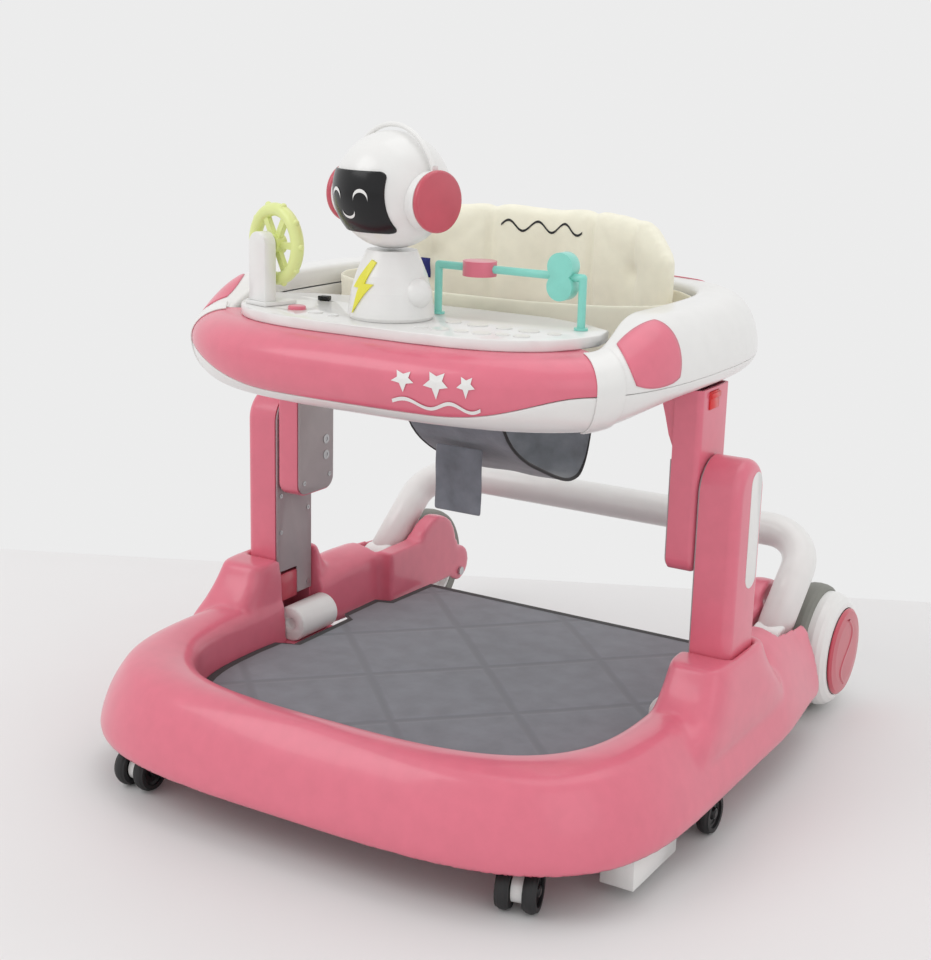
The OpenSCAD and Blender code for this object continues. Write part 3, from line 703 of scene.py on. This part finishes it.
def cloth_puff(o, pins, frames=20, pressure=4.0):
    """Inflates a closed mesh as cloth, no vertex by more than MAX_PUFF; pins tests a vertex's place."""
    g = o.vertex_groups.new(name="held")
    g.add([v.index for v in o.data.vertices if pins(v.co / MM)], 1.0, "REPLACE")
    c = o.modifiers.new("cloth", "CLOTH")
    s = c.settings
    s.use_pressure = True
    s.uniform_pressure_force = pressure
    s.vertex_group_mass = "held"
    s.tension_stiffness = s.compression_stiffness = 12
    s.bending_stiffness = 0.4
    s.mass = 0.25
    s.effector_weights.gravity = 0
    c.point_cache.frame_start, c.point_cache.frame_end = 1, frames
    scene = bpy.context.scene
    for f in range(1, frames + 1):
        scene.frame_set(f)
    me = bpy.data.meshes.new_from_object(o.evaluated_get(bpy.context.evaluated_depsgraph_get()))
    o.modifiers.clear()
    scene.frame_set(1)
    before = [v.co.copy() for v in o.data.vertices]
    for v, b in zip(me.vertices, before):
        step = v.co - b
        if step.length > MAX_PUFF:
            v.co = b + step.normalized() * MAX_PUFF
    o.data = me


lo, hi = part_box("backrest")
bw, z0, z1 = hi.x / MM, lo.z / MM, hi.z / MM


def rest_top(x):
    """The cushion's top edge, lower towards its ends."""
    return z1 - 8 - 44 * max(0, (abs(x) - (bw - 62)) / 62) ** 2.2


def rest_y(x):
    """The cushion's middle plane, bowed round the child."""
    return 103 - 0.0022 * x * x


rows = []
for i in range(61):
    x = -bw + 8 + (2 * bw - 16) * i / 60
    top, y = rest_top(x), rest_y(x)
    edge = 1 - (abs(x) / bw) ** 14
    h = 9.5 * (0.35 + 0.65 * edge)
    middle, reach = (z0 + 6 + top) / 2, (top - z0 - 6) / 2
    rows.append([(x, y + h * spow(math.cos(q), 0.5), middle + reach * spow(math.sin(q), 0.35))
                 for q in (2 * math.pi * k / 64 for k in range(64))])
pad = loose("pad", skin(rows, close_n=True, caps=True))
modified(pad, ("REMESH", {"mode": "VOXEL", "voxel_size": 0.005}))
cloth_puff(pad, lambda p: abs(abs(p.x) - SEAM_X) < 3.2
           or (abs(p.z - TUFT_Z) < 3.5 and abs(abs(p.x) - TUFT_X) < 3.5)
           or (abs(p.z - 462) < 3.5 and abs(p.x) < 3.5)
           or p.z < z0 + 9)
sunk = []
for v in pad.data.vertices:
    x, z = v.co.x / MM, v.co.z / MM
    tuft = math.exp(-((abs(x) - TUFT_X) ** 2 + (z - TUFT_Z) ** 2) / 60)
    groove = math.exp(-((abs(x) - SEAM_X) / 3.5) ** 2) + 0.8 * tuft
    puff = 3.2 * abs(math.cos(math.pi * (abs(x) - SEAM_X) / 116)) if abs(x) < 116 else 2.0
    fold = 1.5 * noise.noise(Vector((v.co.x * 38, v.co.y * 14, v.co.z * 16)))
    sunk.append(v.co + v.normal * MM * (fold + puff * min(1, (z - z0) / 40) - 5.5 * groove))
for v, place in zip(pad.data.vertices, sunk):
    v.co = place
modified(pad, ("SMOOTH", {"factor": 0.5, "iterations": 2}), ("SUBSURF", {"levels": 1}))
pad.name = "back_cushion"
kept(pad, "tray", "seat_cloth", True, ("backrest",))

# A dark stitched scroll on the backrest's front
tree = BVHTree.FromObject(pad, bpy.context.evaluated_depsgraph_get())
rows = []
for k in range(49):
    x = -46 + 92 * k / 48
    z = 512 + 5 * math.sin(k / 2.6)
    row = []
    for w in (-1.2, 1.2):
        hit = tree.ray_cast(Vector((x, -200, z + w)) * MM, Vector((0, 1, 0)))[0]
        row.append((x, (hit.y / MM if hit else 90) - 0.5, z + w))
    rows.append(row)
made("scroll", *skin(rows), "tray", "seat_cloth", material="webbing")


def thick_sheet(name, rows, slot, node, thick, close=False):
    """A cloth sheet on the tray unit, thick millimetres thick, which stands in for node."""
    o = loose(name, skin(rows, close_m=close))
    modified(o, ("SOLIDIFY", {"thickness": thick * MM, "offset": 0.0}), ("SUBSURF", {"levels": 1}))
    kept(o, "tray", slot, True, (node,))


loop = [oval(181.5, 95.5, 95.5, 27, 2.4, t) for t in range(0, 360, 2)]
rows = [[(x + 1.1 * math.sin(z / 9 + t * .4) * math.sin(t * .22), y + .9 * math.sin(t * .5), z)
         for z in (402, 410, 420, 430, 440, 450, 458, 462)] for t, (x, y) in enumerate(loop)]
thick_sheet("skirt", rows, "seat_cloth", "seat_skirt", 1.6,
            close=True)
line = spline([(-92, 374), (-62, 329), (-30, 304), (10, 285), (50, 269), (75, 264.5), (92, 270), (104, 292),
               (112, 330), (117, 372), (119, 398)], 4)
rows = [[(x, y, z + math.sin(x / 11 + y / 23) * (1 - abs(x) / 60)) for x in range(-54, 55, 6)]
        for y, z in line]
thick_sheet("sling", rows, "mat", "seat_sling", 2.4)
for i, x in enumerate((-53, 53)):
    rows = [[(x + 1.9 * math.cos(q), y, z + 1.9 * math.sin(q)) for q in (math.pi * k / 5 for k in range(10))]
            for y, z in line[2:-2]]
    made("piping_%d" % i, *skin(rows, close_n=True, caps=True), "tray", "mat", material="webbing")
lo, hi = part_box("hanging_strap")
rows = [[(x, (lo.y + hi.y) / 2 / MM + .5 * math.sin(z / 7), z) for x in range(-26, 27, 4)]
        for z in range(int(lo.z / MM) + 1, int(hi.z / MM), 5)]
thick_sheet("strap", rows, "mat", "hanging_strap", 1.6)

# Foot mat, quilted in diamonds, with a dark hem. Its faces are joined up before their normals are found.
lo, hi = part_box("foot_mat")
gm = loose("mat_top", ([tuple(v.co / MM) for v in NODES["foot_mat"].data.vertices],
                       [tuple(p.vertices) for p in NODES["foot_mat"].data.polygons]))
bm = bmesh.new()
bm.from_mesh(gm.data)
bmesh.ops.remove_doubles(bm, verts=bm.verts, dist=0.01 * MM)
bmesh.ops.recalc_face_normals(bm, faces=bm.faces)
bm.to_mesh(gm.data)
bm.free()
kept(gm, "base", "mat", False, ("foot_mat",), "quilt")

top = hi.z / MM
side_line = [(218, -66), (199, -58), (199, 42), (211, 50), (211, 110), (194, 116), (190, 195)]
rim = [oval(220, 168, 1, -100, INNER_POWER, t) for t in range(-90, 91, 5)]
rim += side_line + [(-x, y) for x, y in reversed(side_line)]
rows = [[(x, y, top + .25), (x * .965, -30 + (y + 30) * .965, top + .25)] for x, y in rim + rim[:1]]
made("mat_hem", *skin(rows), "base", "mat", smooth=False, material="webbing")

# ---- Toys and small parts from the CAD, with rounded edges ----
EDGE_ROUNDS = {"stopper_blocks": 2, "hinge_barrels": 3, "lower_covers": .6, "upper_covers": .6,
               "post_inlays": .3, "ferris_tower": 2, "board_button": 1.2, "board_switch": 1,
               "bead_disc": 3, "bead_eight": 2.5,
               "robot_ear_cups": 2.5, "robot_visor": .6, "red_button_left": 1.2, "red_button_right": 1.2,
               "catch_left": 1.5, "catch_right": 1.5}
for node, width in EDGE_ROUNDS.items():
    softened(node, width, "deep_pink" if node == "robot_ear_cups" else None)

# Robot's face
lo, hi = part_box("robot_head")
centre, r = (lo + hi) / 2 / MM, (hi.x - lo.x) / 2 / MM
aim = Matrix.Rotation(math.radians(-15), 3, "Z")


def on_face(az, el):
    """A point just in front of the visor, by its angles in degrees."""
    az, el = math.radians(az), math.radians(el)
    way = Vector((math.sin(az) * math.cos(el), -math.cos(az) * math.cos(el), math.sin(el)))
    return tuple(centre + (aim @ way) * (r + 2.3))


def face_line(name, points, width):
    rows = [[on_face(az, el + w) for w in (-width, width)] for az, el in points]
    made(name, *skin(rows), "tray", "white")


half_turn = [math.pi * k / 12 for k in range(13)]
for i, az in enumerate((-17, 17)):
    face_line("eye_%d" % i, [(az + 8 * math.cos(a), -6 + 8 * math.sin(a)) for a in half_turn], 1.6)
face_line("smile", [(9 * math.cos(-a), -18 + 6 * math.sin(-a)) for a in half_turn], 1.3)

# Wheel caps' curved relief
for side, s in SIDES:
    lo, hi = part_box("rear_cap_" + side)
    c = (lo + hi) / 2 / MM
    x = (hi.x if s > 0 else lo.x) / MM
    rows = []
    for k in range(41):
        v = k / 20 - 1
        y, z = c.y + 15 * math.sin(v * math.pi), c.z + 36 * v
        rows.append([(x - s, y - 4, z), (x + s * .5, y - 2, z), (x + s * .5, y + 2, z), (x - s, y + 4, z)])
    made("cap_wave_" + side, *skin(rows), "rear_wheel_" + side, "deep_pink")

# Blue tag on the backrest's edge
y = rest_y(120)
rows = [[(-x, y - 14 + .8 * math.sin(z / 4), z) for x in (112, 118, 124)] for z in range(455, 476, 4)]
tag = loose("tag", skin(rows))
modified(tag, ("SOLIDIFY", {"thickness": 0.0008, "offset": 0.0}))
kept(tag, "tray", "seat_cloth", True, (), "blue")

# ---- Everything else takes its finish from its slot ----
for name, o in NODES.items():
    o.data.materials.clear()
    o.data.materials.append(MATS[SLOT[name]])
    for p in o.data.polygons:
        p.use_smooth = True
    m = o.modifiers.new("split", "EDGE_SPLIT")
    m.split_angle = math.radians(35)

# ---- Studio ----
scene = bpy.context.scene
# The floor ends along a line just behind the walker, and the bright studio shows beyond it
along, near, start = Vector((0.905, 0.425, 0)), Vector((0.425, -0.905, 0)), Vector((-880, 160, 0))
FAR = 9000
corners = [tuple(start + along * a + near * n) for a, n in ((-FAR, 0), (FAR, 0), (FAR, FAR), (-FAR, FAR))]
floor = loose("floor", (corners, [(0, 1, 2, 3)]))
floor.data.materials.append(textured("floor", (0.80, 0.79, 0.79), 0.6, scale=3, spread=0.01, bump=0.02))
floor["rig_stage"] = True
world = bpy.data.worlds.new("studio")
world.use_nodes = True
world.node_tree.nodes["Background"].inputs["Color"].default_value = (1, 1, 1, 1)
world.node_tree.nodes["Background"].inputs["Strength"].default_value = 0.84
scene.world = world
scene.view_settings.view_transform = "Standard"


def softbox(name, at, size, power):
    """A square lamp that faces the walker."""
    d = bpy.data.lights.new(name, "AREA")
    d.shape, d.size, d.energy = "SQUARE", size, power
    o = bpy.data.objects.new(name, d)
    o.location = at
    o.rotation_euler = (Vector((0, 0, 0.3)) - Vector(at)).to_track_quat("-Z", "Y").to_euler()
    scene.collection.objects.link(o)
    o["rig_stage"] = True


softbox("key", (-1.4, -1.8, 2.2), 1.6, 14)
softbox("fill", (2.2, -1.2, 1.5), 1.8, 4)
softbox("top", (0.2, 0.6, 2.8), 2.0, 9)

# ---- Camera ----
STAND = (0.766, -1.3268, 0.6672)
LENS = 59.96
az, pitch, roll = math.radians(30.93), math.radians(14.56), math.radians(1.5)
back = Vector((math.sin(az) * math.cos(pitch), -math.cos(az) * math.cos(pitch), math.sin(pitch)))
right = Vector((math.cos(az), math.sin(az), 0))
up = back.cross(right)
right, up = right * math.cos(roll) + up * math.sin(roll), up * math.cos(roll) - right * math.sin(roll)
cam = bpy.data.objects.new("camera", bpy.data.cameras.new("camera"))
cam.matrix_world = Matrix.Translation(STAND) @ Matrix((right, up, back)).transposed().to_4x4()
cam.data.lens = LENS
cam.data.sensor_width = 36
cam.data.sensor_fit = "AUTO"
scene.collection.objects.link(cam)
scene.camera = cam


def plain(b):
    return [[float(c) for c in v] if hasattr(v, "__len__") else float(v) for v in b]


{"loaded": plain(loaded_bounds), "finished": plain(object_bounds())}
